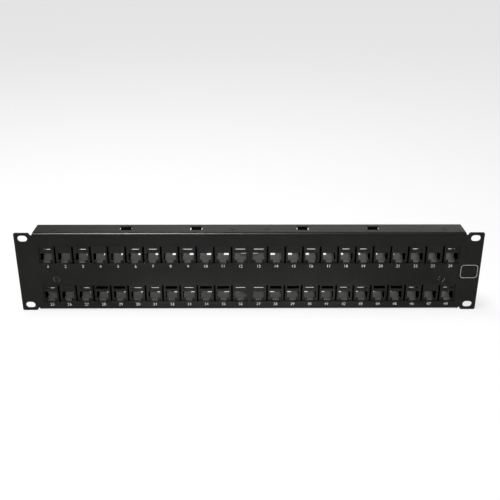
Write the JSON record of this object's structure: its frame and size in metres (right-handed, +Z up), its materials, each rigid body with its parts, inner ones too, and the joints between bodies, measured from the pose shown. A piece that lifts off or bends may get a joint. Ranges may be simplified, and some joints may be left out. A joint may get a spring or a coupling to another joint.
{
  "type": "patch panel",
  "caption": "Two-unit rack patch panel: a folded black steel front with rack ears, two rows of modular jacks in six-port modules, punch-down terminals behind and a rear cable bar",
  "frame": {"origin": "centre of the bounding box in plan, at its lowest point, which is the lower edge of both ears", "axes": "+X is to the right as seen from the front, +Y is into the rack from the panel's face, +Z is up"},
  "size_m": [0.4826, 0.095, 0.0889],
  "materials": {
    "painted_steel": "fine satin black powder coat",
    "black_plastic": "moulded, fine spark texture",
    "grey_plastic": "moulded, smooth satin",
    "circuit_board": "green solder mask over glass fibre",
    "connector_plastic": "moulded, satin",
    "zinc_steel": "bright zinc plate",
    "black_steel": "black oxide, satin",
    "contact_gold": "gold plate on phosphor bronze",
    "white_print": "screen-printed ink",
    "tin_plate": "tin-plated phosphor bronze"
  },
  "bodies": {
    "root": {"front_panel": "painted_steel", "jack_housing_1": "black_plastic", "contact_carrier_1": "grey_plastic", "circuit_board_1": "circuit_board", "punch_down_strip_1": "connector_plastic", "jack_housing_2": "black_plastic", "contact_carrier_2": "grey_plastic", "circuit_board_2": "circuit_board", "punch_down_strip_2": "connector_plastic", "jack_housing_3": "black_plastic", "contact_carrier_3": "grey_plastic", "circuit_board_3": "circuit_board", "punch_down_strip_3": "connector_plastic", "jack_housing_4": "black_plastic", "contact_carrier_4": "grey_plastic", "circuit_board_4": "circuit_board", "punch_down_strip_4": "connector_plastic", "jack_housing_5": "black_plastic", "contact_carrier_5": "grey_plastic", "circuit_board_5": "circuit_board", "punch_down_strip_5": "connector_plastic", "jack_housing_6": "black_plastic", "contact_carrier_6": "grey_plastic", "circuit_board_6": "circuit_board", "punch_down_strip_6": "connector_plastic", "jack_housing_7": "black_plastic", "contact_carrier_7": "grey_plastic", "circuit_board_7": "circuit_board", "punch_down_strip_7": "connector_plastic", "jack_housing_8": "black_plastic", "contact_carrier_8": "grey_plastic", "circuit_board_8": "circuit_board", "punch_down_strip_8": "connector_plastic", "module_screw_upper_1": "black_steel", "module_screw_lower_1": "black_steel", "module_screw_upper_2": "black_steel", "module_screw_lower_2": "black_steel", "module_screw_upper_3": "black_steel", "module_screw_lower_3": "black_steel", "module_screw_upper_4": "black_steel", "module_screw_lower_4": "black_steel", "clinch_stud_left": "painted_steel", "stud_nut_left": "zinc_steel", "bar_bracket_left": "painted_steel", "bar_screw_left": "zinc_steel", "clinch_stud_right": "painted_steel", "stud_nut_right": "zinc_steel", "bar_bracket_right": "painted_steel", "bar_screw_right": "zinc_steel", "rear_cable_bar": "painted_steel", "centre_brace": "painted_steel"}
  },
  "joints": []
}
